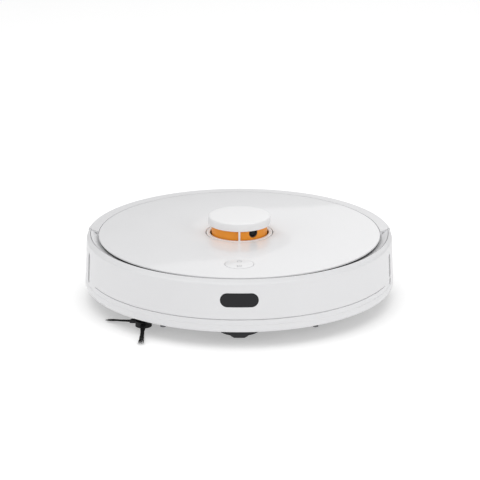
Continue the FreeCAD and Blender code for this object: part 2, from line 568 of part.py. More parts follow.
cap = spun([("cap_radius - cap_wall", "cap_low"), ("cap_radius", "cap_low"),
            ("cap_radius", "cap_z - 1.4"), ("cap_radius - 0.4", "cap_z - 0.4"),
            ("cap_radius - 1.4", "cap_z"), (0, "cap_z"), (0, "cap_z - cap_wall"),
            ("cap_radius - cap_wall", "cap_z - cap_wall")])
cover_ring = spun([("ring_in", "turret_ring_z - 1.8"), ("ring_in", "turret_ring_z"),
                   ("ring_out - 0.4", "turret_ring_z"), ("ring_out", "turret_ring_z - 0.4"),
                   ("ring_out", "stop_z"), ("stop_radius", "stop_z"), ("stop_radius", "ring_foot"),
                   ("ring_out - 1.8", "ring_foot"), ("ring_out - 1.8", "turret_ring_z - 1.8")])
post = box(("-post_wide/2", "post_wide/2"), ("-cap_radius + 0.1", "-ring_in - 0.1"),
           ("turret_ring_z - 1", "cap_low + 1"))
node("lidar_cover", fuse(cap, cover_ring, *[turned(post, angle) for angle in (0, 120, 240)]))
cover_springs = [turned(coil(2, 0.35, "spring_seat", "ring_foot", 6, "spring_ring", 0), angle)
                 for angle in spring_angles]
node("lidar_cover_springs", group(*cover_springs))

# ---------------------------------------------------------------- drive wheels

wheel_centre = (0, "wheel_radius")
wheel_ends = ("wheel_x - wheel_half", "wheel_x + wheel_half")
hub = cut(rod("wheel_core", wheel_ends, wheel_centre, ALONG_X),
          tube("wheel_core - 3", 8, ("wheel_x + wheel_half - 5", "wheel_x + wheel_half + 1"),
               wheel_centre, ALONG_X),
          tube("wheel_core - 3", 8, ("wheel_x - wheel_half - 1", "wheel_x - wheel_half + 5"),
               wheel_centre, ALONG_X))
spokes = common(fuse(*[turned(box(wheel_ends, (-1.2, 1.2), (6, "wheel_core - 2")), 60 * step, 0, 0,
                              "wheel_radius", Vector(1, 0, 0)) for step in range(6)]),
                rod("wheel_core", ("wheel_x - wheel_half + 1", "wheel_x + wheel_half - 1"),
                    wheel_centre, ALONG_X))
hub = fuse(hub, spokes, rod("axle", ("arm_in + 3", "wheel_x - wheel_half + 2"), wheel_centre, ALONG_X))
tyre = spun([("wheel_core", "-wheel_half"), ("wheel_radius - 2", "-wheel_half"),
             ("wheel_radius", "-wheel_half + 2"), ("wheel_radius", "wheel_half - 2"),
             ("wheel_radius - 2", "wheel_half"), ("wheel_core", "wheel_half")],
            "wheel_x", 0, "wheel_radius", ALONG_X)
lug_gap = box(("wheel_x - wheel_half - 1", "wheel_x + wheel_half + 1"), (-1.1, 1.1),
              ("wheel_radius - 1.6", "wheel_radius + 1"))
tyre = cut(tyre, *[turned(lug_gap, 15 * step + 7.5, 0, 0, "wheel_radius", Vector(1, 0, 0))
                   for step in range(24)])
arm_ends = ("arm_in", "arm_out")
arm = fuse(rod(14, arm_ends, wheel_centre, ALONG_X), rod(8, arm_ends, ("pivot_y", "pivot_z"), ALONG_X),
           pad([(0, "wheel_radius - 14"), ("pivot_y", "pivot_z - 8"), ("pivot_y", "pivot_z + 8"),
                ("gear_motor_y", "gear_motor_z + 10"), (0, "wheel_radius + 14")],
               "arm_in", "arm_out", "YZ_Plane"),
           rod("gear_motor_radius + 1", arm_ends, ("gear_motor_y", "gear_motor_z"), ALONG_X),
           rod("pivot_pin", (87, 111), ("pivot_y", "pivot_z"), ALONG_X))
arm = cut(arm, rod("axle + 0.05", ("arm_in + 2", 120), wheel_centre, ALONG_X))
gear_motor = fuse(rod("gear_motor_radius", (75, "arm_in"), ("gear_motor_y", "gear_motor_z"), ALONG_X),
                  rod("gear_motor_radius/2.5", (72, 76), ("gear_motor_y", "gear_motor_z"), ALONG_X))
arm_spring = group(*[torus(5.2, 0.7, 92 + 1.45 * step, "pivot_y", "pivot_z", ALONG_X)
                     for step in range(2)])
for side, flip in (("left", group), ("right", mirrored)):
    node(side + "_wheel_hub", flip(hub))
    node(side + "_tyre", flip(tyre))
    node(side + "_wheel_arm", flip(arm))
    node(side + "_wheel_motor", flip(gear_motor))
    node(side + "_suspension_spring", flip(arm_spring))

# ---------------------------------------------------------------- caster

caster_axle_y = "caster_y + caster_trail"
cheek = common(box(("cheek_in", "cheek_out"), ("caster_y - 11", "caster_y + 18"), (7, 30)),
               rod("fork_radius", (0, 40), (0, "caster_y")))
cheek_round = rod(18, ("cheek_in", "cheek_out"), (caster_axle_y, 24), ALONG_X)
cheek = common(cheek, cheek_round)
fork = fuse(rod("fork_radius", (29.2, 31.4), (0, "caster_y")), cheek, mirrored(cheek),
            rod("stem", (31, 44), (0, "caster_y")))
node("caster_fork", cut(fork, rod(1.5, (-20, 20), (caster_axle_y, "caster_radius"), ALONG_X)))
node("caster_axle", rod(1.5, ("-cheek_out", "cheek_out"), (caster_axle_y, "caster_radius"), ALONG_X))
caster_wheel = common(rod("caster_radius", ("-caster_half", "caster_half"),
                          (caster_axle_y, "caster_radius"), ALONG_X),
                      ball("crown_radius", 0, caster_axle_y, "caster_radius"))
node("caster_wheel", cut(caster_wheel, rod(1.55, (-20, 20), (caster_axle_y, "caster_radius"), ALONG_X)))

# ---------------------------------------------------------------- main brush

brush_line = ("brush_y", "brush_z")
node("main_brush_core", fuse(
    rod("brush_core", ("-brush_half", "brush_half"), brush_line, ALONG_X),
    rod("journal", ("-mouth_x + 0.4", "mouth_x + shell + 2.6"), brush_line, ALONG_X)))
fin_ends = (("-brush_half + 1", "-gap_x - gap_half"), ("-gap_x + gap_half", "gap_x - gap_half"),
            ("gap_x + gap_half", "brush_half - 1"))
fins = []
for step in range(6):
    for first, last in fin_ends:
        fin = box((first, last), (-0.9, 0.9), ("brush_core - 1", "brush_tip"))
        fins.append(turned(fin, 60 * step + 30, 0, "brush_y", "brush_z", Vector(1, 0, 0)))
node("main_brush_bristles", cut(group(*fins),
                                rod("brush_core", ("-brush_half", "brush_half"), brush_line, ALONG_X)))
end_block = cut(box(("brush_half + 0.6", "mouth_x"), ("brush_y - 6", "brush_y + 6"), ("belly_z", 24)),
                rod("journal + 0.05", (60, 90), brush_line, ALONG_X))
node("main_brush_bearings", group(end_block, mirrored(end_block)))
guard_y = ("brush_y - mouth_half - 4", "brush_y + mouth_half + 4")
guard = cut(box(("-mouth_x - 4", "mouth_x + 4"), guard_y, ("guard_z", "belly_z")),
            box(("-brush_half - 0.5", "brush_half + 0.5"),
                ("brush_y - mouth_half + 3", "brush_y + mouth_half - 3"), (0, 20)))
rib = box((-1, 1), ("brush_y - mouth_half + 2", "brush_y + mouth_half - 2"), (5.6, 8.6))
rib_legs = [box((-1, 1), ("brush_y - mouth_half + 2", "brush_y - mouth_half + 5"), (5.6, "belly_z")),
            box((-1, 1), ("brush_y + mouth_half - 5", "brush_y + mouth_half - 2"), (5.6, "belly_z"))]
rib = fuse(rib, *rib_legs)
node("main_brush_guard", fuse(guard, turned(rib, 0, "-gap_x"), turned(rib, 0, "gap_x")))
node("main_brush_gearbox", cut(box(("mouth_x + shell", 94), (-68, -8), ("pan_z", 46)),
                               rod("journal + 0.05", (80, "mouth_x + shell + 3"), brush_line, ALONG_X)))
node("main_brush_motor", fuse(rod(9, (50, "mouth_x + shell"), (-57, 36), ALONG_X),
                              rod(3.5, (48, 51), (-57, 36), ALONG_X)))

# ---------------------------------------------------------------- side brush

side_at = ("side_x", "side_y")
tuft = pad([("ferrule_reach - 3", "-tuft_root/2"), ("side_reach", "-tuft_tip/2"),
            ("side_reach", "tuft_tip/2"), ("ferrule_reach - 3", "tuft_root/2")],
           "-tuft_thick/2", "tuft_thick/2")
ferrule = box((5, "ferrule_reach"), ("-ferrule_wide/2", "ferrule_wide/2"),
              ("-ferrule_high/2", "ferrule_high/2"))


def side_arm(shape, angle):
    """Tips an arm down by the slope and swings it round the side brush's axis."""
    return turned(turned(shape, "side_slope", 0, 0, 0, Vector(0, 1, 0)), angle, *side_at,
                  "side_arm_z")


side_angles = (-91, 29, 149)
side_core = cut(rod("side_hub", (4.6, 11), side_at), rod(1.9, (0, 6.6), side_at),
                rod("side_shaft", (8, 12), side_at), rod(1.02, (6, 8.2), side_at))
hub_clear = rod("side_hub - 1", (0, 20), side_at)
ferrules = cut(fuse(*[side_arm(ferrule, angle) for angle in side_angles]), hub_clear)
tufts = [side_arm(tuft, angle) for angle in side_angles]
node("side_brush_hub", cut(fuse(side_core, ferrules), *tufts))
node("side_brush_bristles", group(*tufts))
node("side_brush_screw", fuse(rod(1.9, (4.8, 6.6), side_at), rod(1, (6.2, 8), side_at)))
side_gear_at = ("side_gear_x", "side_gear_y")
node("side_brush_gearbox", fuse(rod("side_drive", ("side_drive_low", 30), side_at),
                                rod("side_gearbox", ("side_drive_low", 30), side_gear_at),
                                rod("side_motor", (29, 48), side_gear_at),
                                rod("side_shaft", (8, "side_drive_low + 1"), side_at)))

# ---------------------------------------------------------------- battery, boards, speaker

node("battery_pack", box(("-battery_x", "battery_x"), ("battery_front", "battery_back"),
                         ("pan_z + 2.4", "battery_top")))
board = box((-75, 75), (-118, -52), ("board_z", "board_z + board_thick"))
node("main_board", fuse(board, box((-30, -12), (-100, -82), (58, 60)), box((10, 22), (-80, -68), (58, 60)),
                        box((36, 60), (-112, -104), (58, 63)), box((-60, -44), (-74, -62), (58, 63))))
speaker_at = ("speaker_x", "speaker_y")
node("speaker", fuse(rod(13, ("pan_z", 18), speaker_at), rod(9, (18, 24), speaker_at)))

# ---------------------------------------------------------------- dustbin, duct and fan

bin_skin = spun([(0, "bin_low")] + [("crease_radius - bin_inset - 0.05*(bin_low - crease_z)", "bin_low"),
                                    ("wall_top_radius - bin_inset", "wall_top_z"),
                                    (0, "wall_top_z")])


def bin_block(inset, low, high, back):
    return common(box(("-bin_x + %s" % inset, "bin_x - %s" % inset), ("bin_front + %s" % inset, back),
                      (low, high)), bin_skin)


filter_hole = box((19, 61), (55, 66), (37, 55))
inlet_hole = box((-57, 3), (55, 66), (33.5, 50))
latch_pocket = box((-14, 14), (165.6, 180), (48, 58))
tub = cut(bin_block("0", "bin_low", "bin_lid", "body_radius + 5"),
          box(("-bin_x + bin_wall", "bin_x - bin_wall"), ("bin_front + bin_wall", "bin_back"),
              ("bin_low + bin_wall", 80)),
          filter_hole, inlet_hole, latch_pocket)
node("dustbin_tub", tub)
node("dustbin_lid", bin_block("0", "bin_lid", "bin_top", "body_radius + 5"))
node("dustbin_latch", common(box((-13.6, 13.6), (168.2, 180), (48.4, 57.6)),
                             rod("wall_top_radius + 0.4", (40, 60))))
frame_block = box((17, 63), ("bin_front + bin_wall", 72), (35, 57))
frame_hole = box((21, 59), (60, 73), (39, 53))
node("filter_frame", cut(frame_block, frame_hole))
pleats = [box((21 + 2 * step, 22 + 2 * step), (65, 71), (39, 53)) for step in range(19)]
node("dust_filter", fuse(box((21, 59), (67.5, 68.5), (39, 53)), *pleats))

duct_outer = [(6.5, 15), (28, 15), (48, 31.5), (61.5, 31.5), (61.5, 52), (44, 52), (6.5, 37)]
duct_inner = [(6, 17), (27, 17), (47, 33.5), (62, 33.5), (62, 50), (44.6, 50), (6, 33)]
node("suction_duct", cut(pad(duct_outer, "duct_right", "duct_left", "YZ_Plane"),
                         pad(duct_inner, "duct_right + 2", "duct_left - 2", "YZ_Plane")))
fan_at = ("fan_x", "fan_y")
inlet_pipe = box((19, 61), ("fan_y + 17", 61.5), (36, 50))
fan_case = fuse(rod("fan_radius", ("fan_low", "fan_high"), fan_at), inlet_pipe)
fan_space = fuse(rod("fan_radius - 2", ("fan_low + 2", 34), fan_at),
                 rod("fan_radius - 2", (36, "fan_high - 2"), fan_at), rod(8, (33, 37), fan_at),
                 box((21, 59), ("fan_y + 17", 63), (38, 48)))
node("fan_housing", cut(fan_case, fan_space, rod(3, (15, 22), fan_at),
                        box((56, 70), ("fan_y - 7", "fan_y + 6"), (23, 33))))
blade = pad([(5, -0.5), (14, 2.5), ("impeller_radius - 1", 9), ("impeller_radius - 1.6", 10),
             (13, 3.7), (5, 0.7)], 0, 6.1)
impeller = fuse(rod("impeller_radius", (22.6, 24), fan_at), rod(6, (22.6, 32.5), fan_at),
                *[turned(blade, 40 * step, *fan_at, 23.9) for step in range(9)])
node("fan_impeller", cut(impeller, rod(2.05, (22, 33), fan_at)))
node("fan_motor", fuse(rod(12, ("pan_z", "fan_low"), fan_at), rod(2, ("fan_low", 32), fan_at)))

# ---------------------------------------------------------------- check and write

doc.recompute()
for item in doc.Objects:
    if "Invalid" in item.State or "Error" in item.State:
        raise RuntimeError("%s (%s) has a fault: %s" % (item.Name, item.Label, item.State))
os.makedirs("parts", exist_ok=True)
for item in nodes:
    if item.Shape.isNull() or not item.Shape.isValid():
        raise RuntimeError("%s is not a valid shape" % item.Label)
    item.Shape.exportStep("parts/%s.step" % item.Label)
    bounds = item.Shape.BoundBox
    print("%-26s %2d solids  x %7.1f %7.1f  y %7.1f %7.1f  z %6.1f %6.1f  %9.1f mm3" % (
        item.Label, len(item.Shape.Solids), bounds.XMin, bounds.XMax, bounds.YMin, bounds.YMax,
        bounds.ZMin, bounds.ZMax, item.Shape.Volume))
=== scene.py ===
import math
import random

import bmesh
import bpy
from mathutils import Matrix, Vector


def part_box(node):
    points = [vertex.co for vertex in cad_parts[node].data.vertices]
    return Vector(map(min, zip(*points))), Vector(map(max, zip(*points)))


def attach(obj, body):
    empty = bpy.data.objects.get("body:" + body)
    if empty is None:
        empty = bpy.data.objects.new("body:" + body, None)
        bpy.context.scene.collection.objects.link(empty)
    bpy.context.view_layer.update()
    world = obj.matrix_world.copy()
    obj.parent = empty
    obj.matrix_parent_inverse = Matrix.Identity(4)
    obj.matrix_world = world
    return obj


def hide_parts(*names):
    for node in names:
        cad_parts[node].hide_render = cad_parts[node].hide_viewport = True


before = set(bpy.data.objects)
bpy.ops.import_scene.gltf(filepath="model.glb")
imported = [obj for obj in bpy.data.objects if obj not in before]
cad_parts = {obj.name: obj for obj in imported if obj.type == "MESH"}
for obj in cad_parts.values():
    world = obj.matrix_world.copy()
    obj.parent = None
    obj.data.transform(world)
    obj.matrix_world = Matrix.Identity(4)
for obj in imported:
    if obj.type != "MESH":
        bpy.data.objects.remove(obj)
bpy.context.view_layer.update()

# Looks for a round robot vacuum. Lengths are in millimetres until a mesh is made.
# The front faces -Y, the robot's own right is -X and the floor is z = 0.

MM = 0.001
random.seed(11)


def edges(node):
    """(lowest corner, highest corner) of a CAD node in millimetres."""
    low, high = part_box(node)
    return [value / MM for value in low], [value / MM for value in high]


# ------------------------------------------------------------------ driving sizes

BODY_R = 175.0
WALL_TOP_R, WALL_TOP_Z = 172.4, 71.6
SKIRT_Z, CREASE_Z, CREASE_R = 18.5, 26.1, 174.8
SHELL = 2.5
DISC_R = edges("top_cover")[1][0]
DISC_LOW, DISC_Z = edges("top_cover")[0][2], edges("top_cover")[1][2]
LIP_R, LIP_SHIFT, LIP_Z, LIP_LOW, LIP_FLAT = 169.3, 6.2, 74.0, 71.2, 0.5
BEND_Z = WALL_TOP_Z - 1.8
BUMPER_END = 12.0
GROOVE_Z, GROOVE_HIGH, GROOVE_DEEP, GROOVE_CLEAR = 32.3, 0.9, 1.3, 3
GROOVE_RIGHT, GROOVE_LEFT = math.radians(-66), math.radians(68)
WINDOW_WIDE, WINDOW_HIGH, WINDOW_Z = 41.0, 15.5, 53.85
SLOT_ANGLE, SLOT_WIDE = math.radians(75), 8.6
RIGHT_SLOT = (29.1, 63.5)
LEFT_SLOT, LEFT_SPOT = (35.8, 62.8), (26.9, 35.1)
CUT_NEAR, CUT_FAR = 160, 180
TURN = 2 * math.pi


# ------------------------------------------------------------------ mesh helpers

def build(name, verts, faces, smooth_angle=35):
    """A mesh object from millimetre vertices, smooth except across sharp edges."""
    mesh = bpy.data.meshes.new(name)
    mesh.from_pydata([[c * MM for c in v] for v in verts], [], faces)
    bm = bmesh.new()
    bm.from_mesh(mesh)
    bmesh.ops.remove_doubles(bm, verts=bm.verts, dist=2e-6)
    bmesh.ops.recalc_face_normals(bm, faces=bm.faces)
    bm.to_mesh(mesh)
    bm.free()
    finish_mesh(mesh, smooth_angle)
    obj = bpy.data.objects.new(name, mesh)
    bpy.context.scene.collection.objects.link(obj)
    return obj


def finish_mesh(mesh, smooth_angle):
    """Smooth shading except across edges sharper than the angle in degrees."""
    mesh.shade_smooth()
    mesh.set_sharp_from_angle(angle=math.radians(smooth_angle))


def rounded(points, steps=5):
    """Rounds the corners of a closed outline. A point may carry its own radius as a third value."""
    out = []
    count = len(points)
    for index, point in enumerate(points):
        radius = point[2] if len(point) > 2 else 0
        here = Vector(point[:2])
        if not radius:
            out.append(tuple(here))
            continue
        before = Vector(points[index - 1][:2]) - here
        after = Vector(points[(index + 1) % count][:2]) - here
        half = before.angle(after) / 2
        reach = min(radius / math.tan(half), before.length * 0.49, after.length * 0.49)
        start, end = here + before.normalized() * reach, here + after.normalized() * reach
        for step in range(steps + 1):
            t = step / steps
            out.append(tuple(start * (1 - t) ** 2 + here * 2 * t * (1 - t) + end * t ** 2))
    return out


def sweep_rings(rings, closed_path=True):
    """Skins a list of equal closed vertex rings; an open path gets end faces."""
    verts = [v for ring in rings for v in ring]
    size, count = len(rings[0]), len(rings)
    faces = []
    for i in range(count if closed_path else count - 1):
        j = (i + 1) % count
        for k in range(size):
            m = (k + 1) % size
            faces.append((i * size + k, i * size + m, j * size + m, j * size + k))
    if not closed_path:
        faces.append(tuple(range(size)))
        faces.append(tuple((count - 1) * size + k for k in reversed(range(size))))
    return verts, faces


def lathe(name, outline, steps=160, centre=(0, 0)):
    """A full turn of a closed (radius, height) outline about Z."""
    rings = []
    for step in range(steps):
        angle = TURN * step / steps
        c, s = math.cos(angle), math.sin(angle)
        rings.append([(centre[0] + r * c, centre[1] + r * s, z) for r, z in outline])
    verts, faces = sweep_rings(rings)
    return build(name, verts, faces)


def prism(name, outline, low, high):
    """A flat outline in XY raised from low to high."""
    rings = [[(x, y, z) for x, y in outline] for z in (low, high)]
    verts, faces = sweep_rings(rings, closed_path=False)
    return build(name, verts, faces)


def box_mesh(name, low, high, bevel=0.0):
    outline = [(low[0], low[1]), (high[0], low[1]), (high[0], high[1]), (low[0], high[1])]
    obj = prism(name, outline, low[2], high[2])
    if bevel:
        soften(obj, bevel)
    return obj


def stadium_outline(half_long, radius, steps=16):
    """A rounded slot along the first axis, centred on the origin."""
    out = []
    for side in (1, -1):
        for step in range(steps + 1):
            angle = -math.pi / 2 + math.pi * step / steps
            out.append((side * (half_long + radius * math.cos(angle)), side * radius * math.sin(angle)))
    return out


def place(obj, matrix):
    """Bakes a transform given in millimetres into the mesh."""
    obj.data.transform(Matrix.Scale(MM, 4) @ matrix @ Matrix.Scale(1 / MM, 4))
    return obj


def about_z(angle):
    return Matrix.Rotation(angle, 4, "Z")


def apply_modifiers(obj, smooth_angle=35):
    """Turns the modifiers' result into the object's own mesh."""
    graph = bpy.context.evaluated_depsgraph_get()
    mesh = bpy.data.meshes.new_from_object(obj.evaluated_get(graph))
    obj.modifiers.clear()
    obj.data = mesh
    finish_mesh(mesh, smooth_angle)
    return obj


def soften(obj, width):
    """Bevels the sharp edges."""
    mod = obj.modifiers.new("Edges", "BEVEL")
    mod.width = width * MM
    mod.segments = 3
    mod.limit_method = "ANGLE"
    mod.angle_limit = math.radians(40)
    mod.harden_normals = False
    return apply_modifiers(obj)


def carve(obj, cutters, smooth_angle=35):
    """Cuts other meshes, which are used up, from this one."""
    for cutter in cutters:
        mod = obj.modifiers.new("Cut", "BOOLEAN")
        mod.operation = "DIFFERENCE"
        mod.solver = "EXACT"
        mod.object = cutter
    apply_modifiers(obj, smooth_angle)
    for cutter in cutters:
        bpy.data.objects.remove(cutter, do_unlink=True)
    return obj


def join(name, objs, smooth_angle=35):
    """Puts several meshes into one object."""
    bm = bmesh.new()
    for obj in objs:
        bm.from_mesh(obj.data)
    mesh = bpy.data.meshes.new(name)
    bm.to_mesh(mesh)
    bm.free()
    for obj in objs:
        bpy.data.objects.remove(obj, do_unlink=True)
    finish_mesh(mesh, smooth_angle)
    out = bpy.data.objects.new(name, mesh)
    bpy.context.scene.collection.objects.link(out)
    return out


def upright_slot(width, low, high, angle):
    """A cutter for a rounded upright slot through the wall at an angle from the front."""
    radius = min(width, high - low) / 2 - 0.01
    outline = stadium_outline((high - low) / 2 - radius, radius)
    turn = Matrix(((0, -1, 0, 0), (0, 0, -1, -CUT_NEAR), (1, 0, 0, (low + high) / 2), (0, 0, 0, 1)))
    cutter = prism("cutter", outline, 0, CUT_FAR - CUT_NEAR)
    return place(cutter, about_z(angle) @ turn)


def wide_slot(width, high, middle):
    """A cutter for a rounded level slot through the front wall."""
    radius = high / 2
    outline = stadium_outline(width / 2 - radius, radius, 24)
    turn = Matrix(((1, 0, 0, 0), (0, 0, -1, -CUT_NEAR), (0, 1, 0, middle), (0, 0, 0, 1)))
    return place(prism("cutter", outline, 0, CUT_FAR - CUT_NEAR), turn)


# ------------------------------------------------------------------ materials

def plastic(name, color, rough=0.4, coat=0.0, coat_rough=0.05, grain=0.08, grain_scale=2600,
            rough_spread=0.06, tone_spread=0.012, metallic=0.0, specular=0.5):
    """Moulded plastic: fine spark-eroded grain, uneven gloss and a faint drift of tone."""
    mat = bpy.data.materials.new(name)
    mat.use_nodes = True
    tree = mat.node_tree
    shader = tree.nodes["Principled BSDF"]
    place_node = tree.nodes.new("ShaderNodeTexCoord")
    fine = tree.nodes.new("ShaderNodeTexNoise")
    fine.inputs["Scale"].default_value = grain_scale
    fine.inputs["Detail"].default_value = 3
    broad = tree.nodes.new("ShaderNodeTexNoise")
    broad.inputs["Scale"].default_value = 24
    broad.inputs["Detail"].default_value = 4
    bump = tree.nodes.new("ShaderNodeBump")
    bump.inputs["Strength"].default_value = grain
    bump.inputs["Distance"].default_value = 0.0001
    edge = tree.nodes.new("ShaderNodeBevel")
    edge.samples = 4
    edge.inputs["Radius"].default_value = 0.0003
    gloss = tree.nodes.new("ShaderNodeMapRange")
    gloss.inputs["To Min"].default_value = max(rough - rough_spread, 0.02)
    gloss.inputs["To Max"].default_value = rough + rough_spread
    ramp = tree.nodes.new("ShaderNodeMix")
    ramp.data_type = "RGBA"
    ramp.inputs["A"].default_value = [min(c * (1 - tone_spread), 1) for c in color] + [1]
    ramp.inputs["B"].default_value = [min(c * (1 + tone_spread), 1) for c in color] + [1]
    link = tree.links.new
    link(place_node.outputs["Object"], fine.inputs["Vector"])
    link(place_node.outputs["Object"], broad.inputs["Vector"])
    link(fine.outputs["Fac"], bump.inputs["Height"])
    link(edge.outputs["Normal"], bump.inputs["Normal"])
    link(bump.outputs["Normal"], shader.inputs["Normal"])
    link(broad.outputs["Fac"], gloss.inputs["Value"])
    link(gloss.outputs["Result"], shader.inputs["Roughness"])
    link(broad.outputs["Fac"], ramp.inputs["Factor"])
    link(ramp.outputs["Result"], shader.inputs["Base Color"])
    shader.inputs["Coat Weight"].default_value = coat
    shader.inputs["Coat Roughness"].default_value = coat_rough
    shader.inputs["Metallic"].default_value = metallic
    shader.inputs["Specular IOR Level"].default_value = specular
    return mat


white_shell = plastic("white_shell", (0.745, 0.745, 0.755), 0.36, grain=0.05)
white_gloss = plastic("white_gloss", (0.80, 0.80, 0.81), 0.36, coat=0.35, coat_rough=0.06, grain=0.0)
white_bright = plastic("white_bright", (0.87, 0.87, 0.875), 0.35, grain=0.04)
black_window = plastic("black_window", (0.012, 0.012, 0.014), 0.12, grain=0.0, rough_spread=0.02,
                       specular=0.25)
grey_window = plastic("grey_window", (0.30, 0.30, 0.31), 0.2, coat=0.5, grain=0.02)
charcoal = plastic("charcoal", (0.018, 0.018, 0.020), 0.55, grain=0.25, tone_spread=0.06,
                   specular=0.35)
dark_grey = plastic("dark_grey", (0.06, 0.06, 0.064), 0.48, grain=0.22, tone_spread=0.05)
orange = plastic("orange", (1.0, 0.36, 0.035), 0.36, grain=0.05, tone_spread=0.03, specular=0.3)
lens_black = plastic("lens_black", (0.004, 0.004, 0.005), 0.1, grain=0.0, rough_spread=0.02,
                     specular=0.2)
rubber = plastic("rubber", (0.014, 0.014, 0.015), 0.72, grain=0.35, tone_spread=0.12,
                 specular=0.3)
brush_rubber = plastic("brush_rubber", (0.62, 0.17, 0.03), 0.55, grain=0.3, tone_spread=0.05)
steel = plastic("steel", (0.48, 0.48, 0.50), 0.32, grain=0.15, metallic=1.0)
screw_steel = plastic("screw_steel", (0.20, 0.20, 0.21), 0.36, grain=0.2, metallic=1.0)
contact_metal = plastic("contact_metal", (0.72, 0.64, 0.48), 0.22, grain=0.1, metallic=1.0)
circuit = plastic("circuit", (0.02, 0.11, 0.05), 0.35, coat=0.3, grain=0.1, grain_scale=700)
battery = plastic("battery", (0.03, 0.07, 0.20), 0.3, grain=0.15, grain_scale=900)
paper = plastic("paper", (0.74, 0.74, 0.70), 0.85, grain=0.6, grain_scale=1400, tone_spread=0.05)
smoke = plastic("smoke", (0.10, 0.10, 0.105), 0.25, coat=0.3, grain=0.05)
white_plain = plastic("white_plain", (0.62, 0.62, 0.62), 0.45, grain=0.15)
mark_grey = plastic("mark_grey", (0.40, 0.40, 0.41), 0.4, grain=0.02)


def dress(node, material):
    """Gives a carried-over CAD node its material."""
    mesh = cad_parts[node].data
    mesh.materials.clear()
    mesh.materials.append(material)


def piece(obj, material, body, slot, *stands_for):
    """Finishes a new piece: material, body and the nodes it replaces. The slot argument is not used."""
    obj.data.materials.clear()
    obj.data.materials.append(material)
    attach(obj, body)
    if stands_for:
        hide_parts(*stands_for)
    return obj


CAD_FINISH = {
    "chassis_base": charcoal, "battery_cover": charcoal, "base_screws": screw_steel,
    "cliff_sensor_windows": grey_window, "upper_housing": white_shell, "exhaust_grille": white_shell,
    "charge_contacts": contact_metal, "bumper_springs": steel, "bumper_switches": dark_grey,
    "top_cover": white_gloss, "button_switches": circuit, "lidar_belt": rubber,
    "lidar_base": dark_grey, "lidar_motor": steel, "lidar_bearing": steel,
    "lidar_cover_springs": steel, "left_suspension_spring": steel, "right_suspension_spring": steel,
    "main_brush_bearings": dark_grey, "main_brush_guard": dark_grey, "main_brush_gearbox": dark_grey,
    "main_brush_motor": steel, "side_brush_gearbox": dark_grey, "battery_pack": battery,
    "main_board": circuit, "speaker": dark_grey, "suction_duct": dark_grey,
    "fan_housing": white_plain, "fan_motor": steel, "bumper": white_shell,
    "bumper_window": black_window, "right_wall_sensor_window": grey_window,
    "left_side_windows": grey_window, "lidar_cover": white_shell, "lidar_head": orange,
    "lidar_lenses": lens_black, "lidar_pulley": white_plain, "button_plate": white_gloss,
    "left_wheel_arm": dark_grey, "left_wheel_motor": steel, "left_wheel_hub": dark_grey,
    "left_tyre": rubber, "right_wheel_arm": dark_grey, "right_wheel_motor": steel,
    "right_wheel_hub": dark_grey, "right_tyre": rubber, "caster_fork": charcoal,
    "caster_axle": steel, "caster_wheel": charcoal, "main_brush_core": charcoal,
    "main_brush_bristles": brush_rubber, "side_brush_hub": rubber,
    "side_brush_bristles": rubber, "side_brush_screw": screw_steel, "fan_impeller": white_plain,
    "dustbin_tub": smoke, "dustbin_lid": smoke, "filter_frame": white_plain, "dust_filter": paper,
    "dustbin_latch": white_shell,
}
for node_name, finish in CAD_FINISH.items():
    dress(node_name, finish)


# ------------------------------------------------------------------ bumper

BUMPER_STEPS = 420
HOOK_LOW, HOOK_HIGH, HOOK_EDGE = (-170.6, -22, 44), (-157.4, -11, 47), 0.4


def wall_radius(z):
    """The flared outer wall's radius at a height."""
    if z >= CREASE_Z:
        share = (z - CREASE_Z) / (WALL_TOP_Z - CREASE_Z)
        return CREASE_R - 0.25 + share * (WALL_TOP_R - CREASE_R + 0.25)
    return BODY_R - (BODY_R - CREASE_R) * (z - SKIRT_Z) / (CREASE_Z - SKIRT_Z)


